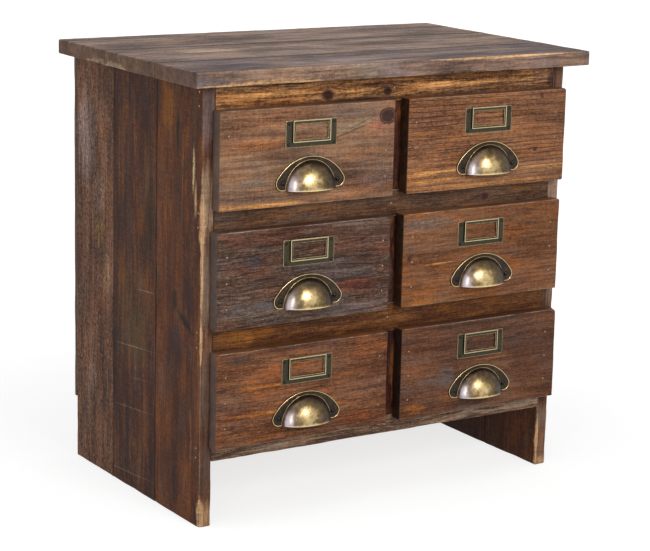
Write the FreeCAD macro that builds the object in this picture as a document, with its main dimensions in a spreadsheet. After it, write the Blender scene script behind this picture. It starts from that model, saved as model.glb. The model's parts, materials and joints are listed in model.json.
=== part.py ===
# Side table of reclaimed boards with six drawers, brass cup pulls and label holders.
# Millimetres. +Z is up, the drawers open towards -Y, and the origin lies on the floor
# under the middle of the whole table's box.

import FreeCAD, Part
import math
import os
import re
import Sketcher

doc = FreeCAD.newDocument("SideTable")


# Driving dimensions

sizes = {
    # case
    "case_width": 574,
    "case_depth": 357,
    "side_height": 580,
    "side_thickness": 18,
    "rear_side_board": 115,
    "front_side_board": 121,
    "back_thickness": 7,
    "edge_easing": 1.2,
    # top
    "top_thickness": 20,
    "top_overhang_side": 24,
    "top_overhang_front": 26,
    "rear_top_board": 141,
    "front_top_board": 109,
    # front frame: what shows of each rail above, between and below the drawer fronts
    "top_reveal": 31,
    "upper_reveal": 27,
    "lower_reveal": 30,
    "bottom_reveal": 20.5,
    "rail_thickness": 19,
    "stile_width": 31,
    "stile_offset": 2,
    # drawer fronts
    "front_height": 128,
    "front_thickness": 18.9,
    "front_lap": 5,
    "front_side_lap": 5.85,
    "front_easing": 1.8,
    "closing_gap": 0.3,
    # drawer boxes
    "box_wall": 12,
    "box_rear_gap": 32.3,
    "box_top_play": 4,
    "box_side_play": 2.5,
    "running_gap": 0.3,
    "bottom_thickness": 5,
    "bottom_height": 8,
    "groove_depth": 6,
    "groove_play": 0.2,
    "back_drop": 6,
    # runners, guides and cleats
    "runner_width": 18,
    "centre_ledge": 16,
    "guide_height": 20,
    # cup pull
    "pull_width": 104.5,
    "pull_height": 43,
    "pull_reach": 22,
    "pull_drop": 64.5,
    "ear_radius": 9.75,
    "flange_thickness": 1.2,
    "rim_width": 1.6,
    "rim_height": 0.9,
    "dome_radius": 37.4,
    "dome_wall": 1.2,
    "collar_width": 1.1,
    "pull_screw_spacing": 83.4,
    "pull_screw_height": 10,
    "pull_screw_radius": 1.6,
    "pull_screw_length": 16,
    "pull_head_radius": 3.4,
    "pull_head_height": 2.2,
    "pull_slot_width": 0.8,
    # label holder
    "label_width": 77.5,
    "label_height": 35,
    "label_drop": 17.5,
    "label_thickness": 0.9,
    "label_corner": 2,
    "frame_width": 57,
    "frame_height": 28.5,
    "frame_rise": 3.2,
    "frame_wall": 1,
    "frame_border": 3.6,
    "frame_top_border": 4.8,
    "label_pin_inset": 4.3,
    "label_pin_radius": 0.9,
    "label_pin_length": 10,
    "pin_head_radius": 2.1,
    "pin_head_height": 1.1,
    # brads and screws
    "brad_radius": 1.1,
    "long_brad": 42,
    "short_brad": 30,
    "panel_brad": 18,
    "screw_radius": 2,
    "screw_head_radius": 4,
    "screw_head_height": 2.4,
    "screw_grip": 12,
    "hole_play": 0.1,
}

# The fronts and their fittings were put on by hand: how far each front sits to the right of
# its bay's middle, and how far its pull and label holder sit to the right of its own middle.
hand_shifts = {
    "top_left": {"front": 0.5, "pull": 1.7, "label": 2},
    "top_right": {"front": 2.5, "pull": 0, "label": -1.4},
    "middle_left": {"front": -1.5, "pull": 3.8, "label": 4},
    "middle_right": {"front": -0.1, "pull": -0.2, "label": -4.2},
    "bottom_left": {"front": 0, "pull": 3.6, "label": 3.7},
    "bottom_right": {"front": 3, "pull": 0.4, "label": -0.6},
}
for drawer, shifts in hand_shifts.items():
    for piece, shift in shifts.items():
        sizes[f"{drawer}_{piece}_shift"] = shift

sheet = doc.addObject("Spreadsheet::Sheet", "Sizes")
for row, (alias, value) in enumerate(sizes.items(), start=1):
    sheet.set(f"A{row}", alias)
    sheet.set(f"B{row}", str(value))
    sheet.setAlias(f"B{row}", alias)
doc.recompute()


# Places and sizes that follow from the sheet, as expressions

front_y = "((closing_gap + front_thickness + pull_reach - case_depth - back_thickness) / 2)"
rear_y = f"({front_y} + case_depth)"
case_rear_y = f"({rear_y} + back_thickness)"
front_back_y = f"({front_y} - closing_gap)"
front_face_y = f"({front_back_y} - front_thickness)"
rail_rear_y = f"({front_y} + rail_thickness)"
inner_x = "(case_width / 2 - side_thickness)"
stile_left = "(stile_offset - stile_width / 2)"
stile_right = "(stile_offset + stile_width / 2)"

front_top = {"top": "(side_height - top_reveal)"}
front_top["middle"] = f"({front_top['top']} - front_height - upper_reveal)"
front_top["bottom"] = f"({front_top['middle']} - front_height - lower_reveal)"
opening_floor = {row: f"({top} - front_height + front_lap)" for row, top in front_top.items()}
opening_height = "(front_height - 2 * front_lap)"

# Each rail's underside and height: the fronts lap over it from above, below or both.
rails = {
    "top": (f"({front_top['top']} - front_lap)", "(top_reveal + front_lap)"),
    "upper": (f"({front_top['middle']} - front_lap)", "(upper_reveal + 2 * front_lap)"),
    "lower": (f"({front_top['bottom']} - front_lap)", "(lower_reveal + 2 * front_lap)"),
    "bottom": (
        f"({front_top['bottom']} - front_height - bottom_reveal)",
        "(bottom_reveal + front_lap)",
    ),
}
case_floor = rails["bottom"][0]

# Every front is as wide as the mean bay and laps over the frame on both sides.
front_width = f"({inner_x} - stile_width / 2 + 2 * front_side_lap)"

# Each bay's left side and width, between a side and the centre stile
bays = {
    "left": (f"(-{inner_x})", f"({inner_x} + {stile_left})"),
    "right": (stile_right, f"({inner_x} - {stile_right})"),
}

# Where each side board and each top board starts, from the front, and how wide it is
side_boards = {
    "front": (front_y, "front_side_board"),
    "middle": (
        f"({front_y} + front_side_board)",
        "(case_depth - front_side_board - rear_side_board)",
    ),
    "rear": (f"({rear_y} - rear_side_board)", "rear_side_board"),
}
top_front_y = f"({front_y} - top_overhang_front)"
top_boards = {
    "front": (top_front_y, "front_top_board"),
    "middle": (
        f"({top_front_y} + front_top_board)",
        f"({case_rear_y} - {top_front_y} - front_top_board - rear_top_board)",
    ),
    "rear": (f"({case_rear_y} - rear_top_board)", "rear_top_board"),
}

# Behind each rail lie three strips as high as the rail, which run to the back panel. Those
# behind the top rail are cleats that hold the top, the others are runners.
strip_depth = f"({rear_y} - {rail_rear_y})"
strips = {
    "left": (f"(-{inner_x})", "runner_width"),
    "centre": (f"({stile_left} - centre_ledge)", "(stile_width + 2 * centre_ledge)"),
    "right": (f"({inner_x} - runner_width)", "runner_width"),
}

# The arch of the pull's plate runs into the round ears without a corner.
ear_x = "(pull_width / 2 - ear_radius)"
arch_radius = (
    f"(({ear_x}^2 + (pull_height - ear_radius)^2 - ear_radius^2)"
    " / (2 * (pull_height - 2 * ear_radius)))"
)


# Headings: a feature's own +Z is turned this way

headings = {
    "left": FreeCAD.Vector(-1, 0, 0),
    "right": FreeCAD.Vector(1, 0, 0),
    "front": FreeCAD.Vector(0, -1, 0),
    "rear": FreeCAD.Vector(0, 1, 0),
    "down": FreeCAD.Vector(0, 0, -1),
    "up": FreeCAD.Vector(0, 0, 1),
}


# Helpers

own_origin = ("0", "0", "0")
nodes = []
corners = {}
bores = {}


def in_sheet(term):
    # Puts the sheet's name before each of its aliases.
    return re.sub(
        "[a-z_]+",
        lambda word: f"Sizes.{word.group()}" if word.group() in sizes else word.group(),
        str(term),
    )


def value_of(term):
    return float(sheet.evalExpression(in_sheet(term)))


def bind(feature, **terms):
    for name, term in terms.items():
        feature.setExpression(name, in_sheet(term))


def place(feature, point, heading="up"):
    turn = FreeCAD.Rotation(headings["up"], headings[heading])
    feature.Placement = FreeCAD.Placement(FreeCAD.Vector(), turn)
    feature.setExpression("Placement.Base", in_sheet("vector({}; {}; {})".format(*point)))


def add_part(kind, label, **terms):
    part = doc.addObject(f"Part::{kind}", label)
    bind(part, **terms)
    return part


def combine(kind, label, pieces):
    joined = doc.addObject(f"Part::{kind}", label)
    if kind == "Compound":
        joined.Links = pieces
    else:
        joined.Shapes = pieces
    return joined


def cut(label, base, tool):
    rest = doc.addObject("Part::Cut", label)
    rest.Base = base
    rest.Tool = tool
    return rest


def twin(pattern, label, point, heading="up"):
    # One of many like pieces, whose pattern is made once around its own origin
    copy = doc.addObject("App::Link", label)
    copy.LinkedObject = pattern
    place(copy, point, heading)
    return copy


def new_body(label, corner=own_origin):
    body = doc.addObject("PartDesign::Body", label)
    place(body, corner)
    corners[body.Name] = corner
    return body


def in_body(body, point):
    # A point of the table in the body's own frame
    return [f"{term} - {start}" for term, start in zip(point, corners[body.Name])]


def add_feature(body, kind, **terms):
    feature = body.newObject(f"PartDesign::{kind}", f"{body.Name}_{kind}")
    bind(feature, **terms)
    return feature


def add_box(body, kind, corner, size):
    box = add_feature(body, kind, Length=size[0], Width=size[1], Height=size[2])
    place(box, in_body(body, corner))
    return box


def board(label, corner, size, easing="edge_easing"):
    # A planed board from its lower left front corner, with its edges eased
    body = new_body(f"{label}_blank", corner)
    block = add_box(body, "AdditiveBox", corner, size)
    rounding = add_feature(
        body, "Fillet", Radius=f"min({easing}; {size[0]} / 5; {size[1]} / 5; {size[2]} / 5)"
    )
    rounding.Base = (block, [""])
    rounding.UseAllEdges = True
    return body


def sketch_on(body, role):
    sketch = body.newObject("Sketcher::SketchObject", f"{body.Name}_sketch")
    plane = next(item for item in body.Origin.OriginFeatures if item.Role == role)
    sketch.AttachmentSupport = (plane, "")
    sketch.MapMode = "FlatFace"
    return sketch


def measure(sketch, name, term, *constraint):
    # A driving dimension of a sketch, tied to the sheet
    index = sketch.addConstraint(Sketcher.Constraint(*constraint, value_of(term)))
    sketch.renameConstraint(index, name)
    sketch.setExpression(f"Constraints.{name}", in_sheet(term))


def close_outline(sketch):
    # Joins each edge of the sketch to the next, and the last to the first.
    count = sketch.GeometryCount
    for index in range(count):
        sketch.addConstraint(
            Sketcher.Constraint("Coincident", index, 2, (index + 1) % count, 1)
        )


def pad(body, sketch, length, backwards=False):
    block = add_feature(body, "Pad", Length=length)
    block.Profile = sketch
    block.Reversed = backwards


def grooved_side(label, corner, facing):
    # A drawer side: its section, with the groove for the bottom on the side it faces, is
    # drawn from the front and runs the whole depth of the box.
    body = new_body(label, corner)
    sketch = sketch_on(body, "XZ_Plane")
    wall = value_of("box_wall")
    inner = wall if facing == "right" else 0
    outer = wall - inner
    floor = inner + (outer - inner) * value_of("groove_depth") / wall
    low = value_of("bottom_height")
    high = low + value_of(groove_height)
    top = value_of(box_height)
    points = [
        (outer, 0), (inner, 0), (inner, low), (floor, low),
        (floor, high), (inner, high), (inner, top), (outer, top),
    ]
    for start, end in zip(points, points[1:] + points[:1]):
        sketch.addGeometry(Part.LineSegment(FreeCAD.Vector(*start), FreeCAD.Vector(*end)))
    close_outline(sketch)
    for index in range(len(points)):
        flat = "Vertical" if index % 2 else "Horizontal"
        sketch.addConstraint(Sketcher.Constraint(flat, index))
    first = 0 if facing == "right" else 1
    sketch.addConstraint(Sketcher.Constraint("Coincident", 0, first + 1, -1, 1))
    sketch.addConstraint(Sketcher.Constraint("Equal", 2, 4))
    measure(sketch, "wall", "box_wall", "Distance", 0)
    measure(sketch, "under_groove", "bottom_height", "Distance", 1)
    measure(sketch, "groove_depth", "groove_depth", "Distance", 2)
    measure(sketch, "groove_height", groove_height, "Distance", 3)
    measure(sketch, "height", box_height, "Distance", 7)
    pad(body, sketch, box_depth, backwards=True)
    return body


def half_moon(label, front, inset, depth):
    # A plate whose straight foot runs through two round ears into an arch. The inset draws
    # the whole outline in.
    body = new_body(label, ("0", front, "0"))
    sketch = sketch_on(body, "XZ_Plane")
    ear = value_of(f"ear_radius - {inset}")
    ear_at = value_of(ear_x)
    ear_height = value_of("ear_radius")
    arch = value_of(f"{arch_radius} - {inset}")
    arch_at = value_of(f"pull_height - {arch_radius}")
    turn = math.atan2(ear_height - arch_at, ear_at)
    up = FreeCAD.Vector(0, 0, 1)
    foot = value_of(inset)
    left_ear = Part.Circle(FreeCAD.Vector(-ear_at, ear_height), up, ear)
    right_ear = Part.Circle(FreeCAD.Vector(ear_at, ear_height), up, ear)
    arch_circle = Part.Circle(FreeCAD.Vector(0, arch_at), up, arch)
    sketch.addGeometry(
        Part.LineSegment(FreeCAD.Vector(-ear_at, foot), FreeCAD.Vector(ear_at, foot))
    )
    sketch.addGeometry(Part.ArcOfCircle(right_ear, -math.pi / 2, turn))
    sketch.addGeometry(Part.ArcOfCircle(arch_circle, turn, math.pi - turn))
    sketch.addGeometry(Part.ArcOfCircle(left_ear, math.pi - turn, 3 * math.pi / 2))
    for index in range(4):
        sketch.addConstraint(Sketcher.Constraint("Tangent", index, 2, (index + 1) % 4, 1))
    sketch.addConstraint(Sketcher.Constraint("Symmetric", 0, 1, 0, 2, -2))
    sketch.addConstraint(Sketcher.Constraint("Equal", 1, 3))
    measure(sketch, "foot_height", inset, "DistanceY", -1, 1, 0, 1)
    measure(sketch, "foot_length", f"2 * {ear_x}", "Distance", 0)
    measure(sketch, "ear_radius", f"ear_radius - {inset}", "Radius", 1)
    measure(sketch, "arch_radius", f"{arch_radius} - {inset}", "Radius", 2)
    pad(body, sketch, depth)
    return body


def rod(label, point, heading, radius, length):
    cylinder = add_part("Cylinder", label, Radius=radius, Height=length)
    place(cylinder, point, heading)
    return cylinder


def drill(pieces, point, heading, radius, depth):
    # A round hole a little wider and deeper than what goes into it
    bore = rod("bore", point, heading, f"{radius} + hole_play", f"{depth} + hole_play")
    open_up(pieces, bore)


def open_up(pieces, bore):
    for piece in pieces:
        bores.setdefault(piece.Name, []).append(bore)


def drilled(piece):
    if piece.Name not in bores:
        return piece
    tool = combine("Compound", f"{piece.Name}_bores", bores[piece.Name])
    return cut(f"{piece.Name}_drilled", piece, tool)


def keep(piece, label):
    # Drills a finished sub-part and gives it its own name.
    finished = drilled(piece)
    finished.Label = label
    nodes.append(finished)


def keep_group(label, pieces):
    keep(combine("Compound", f"{label}_group", [drilled(piece) for piece in pieces]), label)


def brad(fasteners, pieces, point, heading, length):
    # A headless nail, flush with the first of the pieces that it goes through
    fasteners.append(rod("brad", point, heading, "brad_radius", length))
    drill(pieces, point, heading, "brad_radius", length)


def sunk_screw_pattern(label, through, play="0"):
    # A screw with its head let in, or with play the hole for it
    head = rod(
        f"{label}_head", own_origin, "up",
        f"screw_head_radius + {play}", f"screw_head_height + {play}",
    )
    shank = rod(
        f"{label}_shank", own_origin, "up",
        f"screw_radius + {play}", f"{through} + screw_grip + {play}",
    )
    return combine("MultiFuse", label, [head, shank])


def round_headed(label, radius, length, head_radius, head_height):
    # A pin or screw driven in from the front, whose domed head stands on its origin
    ball = f"(({head_radius}^2 + {head_height}^2) / (2 * {head_height}))"
    head = add_part(
        "Sphere", f"{label}_head", Radius=ball, Angle1=f"asin(1 - {head_height} / {ball})"
    )
    place(head, ("0", f"{ball} - {head_height}", "0"), "front")
    shank = rod(f"{label}_shank", own_origin, "rear", radius, length)
    return combine("MultiFuse", label, [head, shank])


# Top: three boards side by side

top_half = "(case_width / 2 + top_overhang_side)"
top_parts = {}
for part, (y, width) in top_boards.items():
    top_parts[part] = board(
        f"top_{part}_board",
        (f"(-{top_half})", y, "side_height"),
        (f"2 * {top_half}", width, "top_thickness"),
    )

# Sides: three upright boards each, which run down to the floor as legs

side_parts = {}
for side, x in (("left", "(-case_width / 2)"), ("right", inner_x)):
    for part, (y, width) in side_boards.items():
        side_parts[side, part] = board(
            f"{side}_side_{part}_board",
            (x, y, "0"),
            ("side_thickness", width, "side_height"),
        )

# Back panel, from the bottom rail's underside up to the top

back_panel = board(
    "back_panel",
    ("(-case_width / 2)", rear_y, case_floor),
    ("case_width", "back_thickness", f"(side_height - {case_floor})"),
)

# Rails across the front, and the strips behind them

rail_parts = {}
strip_parts = {}
for level, (z, height) in rails.items():
    rail_parts[level] = board(
        f"{level}_rail",
        (f"(-{inner_x})", front_y, z),
        (f"2 * {inner_x}", "rail_thickness", height),
    )
    for column, (x, width) in strips.items():
        strip_parts[level, column] = board(
            f"{level}_{column}_strip", (x, rail_rear_y, z), (width, strip_depth, height)
        )

# In each row, a stile between the rails and a guide behind it on the centre runner

stile_parts = {}
guide_parts = {}
for row, z in opening_floor.items():
    stile_parts[row] = board(
        f"{row}_stile",
        (stile_left, front_y, z),
        ("stile_width", "rail_thickness", opening_height),
    )
    guide_parts[row] = board(
        f"{row}_guide",
        (stile_left, rail_rear_y, z),
        ("stile_width", strip_depth, "guide_height"),
    )

# Brads and screws of the case

screw_patterns = {}
for use, through in (("side", "runner_width"), ("top", rails["top"][1])):
    screw_patterns[use] = (
        sunk_screw_pattern(f"{use}_screw", through),
        sunk_screw_pattern(f"{use}_screw_hole", through, "hole_play"),
    )


def sunk_screw(use, pieces, point, heading):
    screw, hole = screw_patterns[use]
    case_fasteners.append(twin(screw, "screw", point, heading))
    open_up(pieces, twin(hole, "screw_hole", point, heading))


case_fasteners = []

outsides = {"left": ("(-case_width / 2)", "right"), "right": ("(case_width / 2)", "left")}
for level, (z, height) in rails.items():
    for side, (x, heading) in outsides.items():
        for share in (1 / 4, 3 / 4):
            point = (x, f"({front_y} + rail_thickness / 2)", f"({z} + {height} * {share})")
            pieces = (side_parts[side, "front"], rail_parts[level])
            brad(case_fasteners, pieces, point, heading, "long_brad")
    middle_z = f"({z} + {height} / 2)"
    centre_strip = strip_parts[level, "centre"]
    point = ("stile_offset", front_y, middle_z)
    brad(case_fasteners, (rail_parts[level], centre_strip), point, "rear", "long_brad")
    point = ("stile_offset", case_rear_y, middle_z)
    brad(case_fasteners, (back_panel, centre_strip), point, "front", "short_brad")
    for part, (y, width) in side_boards.items():
        screw_y = f"({y} + {width} * 2 / 3)"
        for side, x, heading in (
            ("left", f"(runner_width - {inner_x})", "left"),
            ("right", f"({inner_x} - runner_width)", "right"),
        ):
            pieces = (strip_parts[level, side], side_parts[side, part])
            sunk_screw("side", pieces, (x, screw_y, middle_z), heading)

for row, z in opening_floor.items():
    point = ("stile_offset", front_y, f"({z} + guide_height / 2)")
    brad(case_fasteners, (stile_parts[row], guide_parts[row]), point, "rear", "long_brad")
    level = {"top": "upper", "middle": "lower", "bottom": "bottom"}[row]
    for share in (1 / 4, 3 / 4):
        point = (
            "stile_offset",
            f"({rail_rear_y} + {strip_depth} * {share})",
            f"({z} + guide_height)",
        )
        pieces = (guide_parts[row], strip_parts[level, "centre"])
        brad(case_fasteners, pieces, point, "down", "short_brad")

panel_height = f"(side_height - {case_floor})"
for side, sign in (("left", "-"), ("right", "")):
    for share in (1 / 8, 3 / 8, 5 / 8, 7 / 8):
        point = (
            f"({sign}(case_width / 2 - side_thickness / 2))",
            case_rear_y,
            f"({case_floor} + {panel_height} * {share})",
        )
        brad(case_fasteners, (back_panel, side_parts[side, "rear"]), point, "front", "short_brad")

cleat_screws = {
    "left": [f"(runner_width / 2 - {inner_x})"],
    "centre": [stile_left, stile_right],
    "right": [f"({inner_x} - runner_width / 2)"],
}
for part, (y, width) in top_boards.items():
    for column, places in cleat_screws.items():
        for x in places:
            pieces = (strip_parts["top", column], top_parts[part])
            sunk_screw("top", pieces, (x, f"({y} + {width} / 2)", rails["top"][0]), "up")

for part in top_boards:
    keep(top_parts[part], f"top_{part}_board")
for side, part in side_parts:
    keep(side_parts[side, part], f"{side}_side_{part}_board")
for level in rails:
    keep(rail_parts[level], f"{level}_rail")
keep(back_panel, "back_panel")
keep_group("center_stiles", list(stile_parts.values()))
keep_group("top_cleats", [strip_parts["top", column] for column in strips])
runners = [strip_parts[level, column] for level in rails if level != "top" for column in strips]
keep_group("drawer_runners", runners + list(guide_parts.values()))
keep_group("case_fasteners", case_fasteners)


# Brass fittings, each made once around its foot's middle on the face of a drawer front

pull_plate_depth = "(flange_thickness + rim_height)"


def make_dome(label, skin):
    # A quarter of a flattened ball, and with a skin the hollow in it
    around = f"dome_radius - {skin}"
    dome = add_part(
        "Ellipsoid", label, Radius1=around, Radius2=around, Radius3=f"pull_reach - {skin}"
    )
    dome.Angle1 = 0
    dome.Angle3 = 180
    dome.Placement.Rotation = FreeCAD.Rotation(headings["up"], 180)
    return dome


def make_pull():
    # A half-moon plate with a raised rim, a collar, and a hollow dome that is open underneath,
    # where the fingers go in, and towards the wood
    plate = half_moon("pull_plate", "0", "0", pull_plate_depth)
    recess = half_moon("pull_recess", "-flange_thickness", "rim_width", pull_plate_depth)
    flange = cut("pull_flange", plate, recess)
    collar = rod(
        "pull_collar", own_origin, "front", "dome_radius + collar_width", pull_plate_depth
    )
    collar.Angle = 180
    shell = combine("MultiFuse", "pull_shell", [flange, collar, make_dome("pull_dome", "0")])
    pull = cut("hollow_pull", shell, make_dome("pull_hollow", "dome_wall"))
    for point in pull_screw_points("0", "0", "0"):
        drill([pull], point, "rear", "pull_screw_radius", "pull_screw_length")
    return drilled(pull)


def pull_screw_points(x, y, z):
    return [
        (f"({x} {sign} pull_screw_spacing / 2)", f"({y} - flange_thickness)",
         f"({z} + pull_screw_height)")
        for sign in "-+"
    ]


def make_pull_screw():
    screw = round_headed(
        "pull_screw", "pull_screw_radius", "pull_screw_length",
        "pull_head_radius", "pull_head_height",
    )
    slot = add_part(
        "Box", "pull_screw_slot",
        Length="pull_slot_width", Width="pull_head_height / 2", Height="2 * pull_head_radius",
    )
    place(slot, ("-pull_slot_width / 2", "-pull_head_height", "-pull_head_radius"))
    return cut("slotted_screw", screw, slot)


def make_label_holder():
    # A plate with a raised window frame, open at the top for the card
    left_x = "(-label_width / 2)"
    body = new_body("label_plate", (left_x, "0", "0"))
    plate = add_box(
        body, "AdditiveBox",
        (left_x, "-label_thickness", "0"), ("label_width", "label_thickness", "label_height"),
    )
    doc.recompute([plate])
    rounding = add_feature(body, "Fillet", Radius="label_corner")
    rounding.Base = (plate, edges_along(plate.Shape, headings["rear"]))
    frame_x = "(-frame_width / 2)"
    frame_y = "(-frame_rise)"
    frame_z = "(label_height - frame_height)"
    add_box(
        body, "AdditiveBox",
        (frame_x, frame_y, frame_z), ("frame_width", "frame_rise", "frame_height"),
    )
    add_box(
        body, "SubtractiveBox",
        (f"{frame_x} + frame_wall", f"{frame_y} + frame_wall", f"{frame_z} + frame_wall"),
        ("frame_width - 2 * frame_wall", "frame_rise - frame_wall", "frame_height"),
    )
    add_box(
        body, "SubtractiveBox",
        (f"{frame_x} + frame_border", frame_y, f"{frame_z} + frame_border"),
        (
            "frame_width - 2 * frame_border",
            "frame_wall",
            "frame_height - frame_border - frame_top_border",
        ),
    )
    for point in label_pin_points("0", "0", "0"):
        drill([body], point, "rear", "label_pin_radius", "label_pin_length")
    return drilled(body)


def label_pin_points(x, y, z):
    return [
        (f"({x} {sign} (label_width / 2 - label_pin_inset))", f"({y} - label_thickness)",
         f"({z} + {height})")
        for sign in "-+"
        for height in ("label_pin_inset", "label_height - label_pin_inset")
    ]


def edges_along(shape, axis):
    names = []
    for number, edge in enumerate(shape.Edges, start=1):
        run = edge.Vertexes[-1].Point - edge.Vertexes[0].Point
        if run.Length > 0 and run.cross(axis).Length < 1e-6:
            names.append(f"Edge{number}")
    return names


pull_pattern = make_pull()
pull_screw_pattern = make_pull_screw()
label_pattern = make_label_holder()
label_pin_pattern = round_headed(
    "label_pin", "label_pin_radius", "label_pin_length", "pin_head_radius", "pin_head_height"
)


def fit_hardware(name, front_x, top, front, fasteners):
    # Puts the pull and the label holder on a drawer front, with their screws and pins.
    pull_at = (
        f"({front_x} + {name}_pull_shift)", front_face_y, f"({top} - pull_drop - pull_height)"
    )
    label_at = (
        f"({front_x} + {name}_label_shift)", front_face_y, f"({top} - label_drop - label_height)"
    )
    for point in pull_screw_points(*pull_at):
        fasteners.append(twin(pull_screw_pattern, "pull_screw", point))
        drill([front], point, "rear", "pull_screw_radius", "pull_screw_length")
    for point in label_pin_points(*label_at):
        fasteners.append(twin(label_pin_pattern, "label_pin", point))
        drill([front], point, "rear", "label_pin_radius", "label_pin_length")
    keep(twin(pull_pattern, f"{name}_pull", pull_at), f"{name}_cup_pull")
    keep(twin(label_pattern, f"{name}_label", label_at), f"{name}_label_holder")


# Drawers

groove_height = "(bottom_thickness + groove_play)"
box_height = f"({opening_height} - running_gap - box_top_play)"
box_rear_y = f"({rear_y} - box_rear_gap)"
box_depth = f"({box_rear_y} - {front_back_y})"


def make_drawer(row, column):
    name = f"{row}_{column}"
    bay_x, bay_width = bays[column]
    box_x = f"({bay_x} + box_side_play)"
    box_width = f"({bay_width} - 2 * box_side_play)"
    box_z = f"({opening_floor[row]} + running_gap)"
    inner_left = f"({box_x} + box_wall)"
    inner_width = f"({box_width} - 2 * box_wall)"
    groove_z = f"({box_z} + bottom_height)"
    front_x = f"({bay_x} + {bay_width} / 2 + {name}_front_shift)"

    front = board(
        f"{name}_front",
        (f"({front_x} - {front_width} / 2)", front_face_y, f"({front_top[row]} - front_height)"),
        (front_width, "front_thickness", "front_height"),
        "front_easing",
    )
    add_box(
        front, "SubtractiveBox",
        (f"({inner_left} - groove_depth)", f"({front_back_y} - groove_depth)", groove_z),
        (f"{inner_width} + 2 * groove_depth", "groove_depth", groove_height),
    )

    right_x = f"({box_x} + {box_width} - box_wall)"
    left_side = grooved_side(f"{name}_left_side", (box_x, front_back_y, box_z), "right")
    right_side = grooved_side(f"{name}_right_side", (right_x, front_back_y, box_z), "left")

    tongue = "(groove_depth - groove_play)"
    bottom_z = f"({groove_z} + groove_play / 2)"
    bottom = new_body(
        f"{name}_bottom_blank",
        (f"({inner_left} - {tongue})", f"({front_back_y} - {tongue})", bottom_z),
    )
    add_box(
        bottom, "AdditiveBox", corners[bottom.Name],
        (f"{inner_width} + 2 * {tongue}", f"{box_depth} + {tongue}", "bottom_thickness"),
    )

    back_z = f"({bottom_z} + bottom_thickness)"
    back_height = f"({box_z} + {box_height} - back_drop - {back_z})"
    back = new_body(f"{name}_back_blank", (inner_left, f"({box_rear_y} - box_wall)", back_z))
    add_box(
        back, "AdditiveBox", corners[back.Name], (inner_width, "box_wall", back_height)
    )

    fasteners = []
    for side, x, outer_x, heading in (
        (left_side, box_x, box_x, "right"),
        (right_side, right_x, f"({box_x} + {box_width})", "left"),
    ):
        for share in (1 / 5, 1 / 2, 4 / 5):
            point = (f"({x} + box_wall / 2)", front_face_y, f"({box_z} + {box_height} * {share})")
            brad(fasteners, (front, side), point, "rear", "long_brad")
        for share in (1 / 3, 2 / 3):
            point = (
                outer_x,
                f"({box_rear_y} - box_wall / 2)",
                f"({back_z} + {back_height} * {share})",
            )
            brad(fasteners, (side, back), point, heading, "short_brad")
    for share in (1 / 4, 3 / 4):
        point = (
            f"({inner_left} + {inner_width} * {share})",
            f"({box_rear_y} - box_wall / 2)",
            bottom_z,
        )
        brad(fasteners, (bottom, back), point, "up", "panel_brad")

    fit_hardware(name, front_x, front_top[row], front, fasteners)

    keep(front, f"{name}_front")
    keep_group(f"{name}_sides", [left_side, right_side])
    keep(back, f"{name}_back")
    keep(bottom, f"{name}_bottom")
    keep_group(f"{name}_fasteners", fasteners)


for row in front_top:
    for column in bays:
        make_drawer(row, column)


# Check and write

doc.recompute()
for item in doc.Objects:
    if "Invalid" in item.State or "Error" in item.State:
        raise RuntimeError(f"{item.Label} failed: {item.State}")
for node in nodes:
    if node.Shape.isNull() or not node.Shape.isValid():
        raise RuntimeError(f"{node.Label} has no valid shape")

os.makedirs("parts", exist_ok=True)
for node in nodes:
    node.Shape.exportStep(f"parts/{node.Label}.step")
print(len(nodes), "sub-parts written")
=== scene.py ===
import json
import math

import bmesh
import bpy
import numpy as np
from mathutils import Matrix, Vector, noise

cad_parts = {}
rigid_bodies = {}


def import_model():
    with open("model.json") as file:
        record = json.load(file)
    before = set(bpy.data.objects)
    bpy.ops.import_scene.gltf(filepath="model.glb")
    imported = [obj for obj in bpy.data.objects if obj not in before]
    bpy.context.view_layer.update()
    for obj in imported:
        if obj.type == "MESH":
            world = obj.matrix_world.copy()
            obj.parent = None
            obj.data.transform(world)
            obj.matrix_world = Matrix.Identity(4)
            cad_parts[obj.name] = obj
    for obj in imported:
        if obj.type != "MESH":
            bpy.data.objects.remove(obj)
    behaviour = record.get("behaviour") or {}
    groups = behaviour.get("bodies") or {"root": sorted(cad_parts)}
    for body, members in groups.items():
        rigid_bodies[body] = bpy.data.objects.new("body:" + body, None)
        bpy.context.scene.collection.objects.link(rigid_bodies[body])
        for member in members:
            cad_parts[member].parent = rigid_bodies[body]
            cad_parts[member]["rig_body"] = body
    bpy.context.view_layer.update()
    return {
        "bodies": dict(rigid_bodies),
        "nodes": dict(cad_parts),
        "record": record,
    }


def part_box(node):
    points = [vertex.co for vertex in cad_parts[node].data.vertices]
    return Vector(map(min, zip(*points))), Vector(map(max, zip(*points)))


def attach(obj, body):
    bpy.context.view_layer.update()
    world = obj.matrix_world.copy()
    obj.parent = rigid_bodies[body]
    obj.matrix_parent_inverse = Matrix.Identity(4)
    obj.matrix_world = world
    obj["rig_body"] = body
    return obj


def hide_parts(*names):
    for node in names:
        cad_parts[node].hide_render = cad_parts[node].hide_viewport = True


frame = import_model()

for thing in list(bpy.data.objects):
    if thing.get("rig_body") is None and thing not in frame["bodies"].values():
        bpy.data.objects.remove(thing)  # the start-up cube, lamp and camera
print("frame loaded")


# Camera, where the photograph was taken from

cameraSetup = {
    "place": (-1.5679, -2.4218, 0.9323),
    "azimuth": -33.0,
    "elevation": 12.823,
    "roll": 1.3965,
    "lens": 116.25,
    "sensor": 36.0,
}


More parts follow.
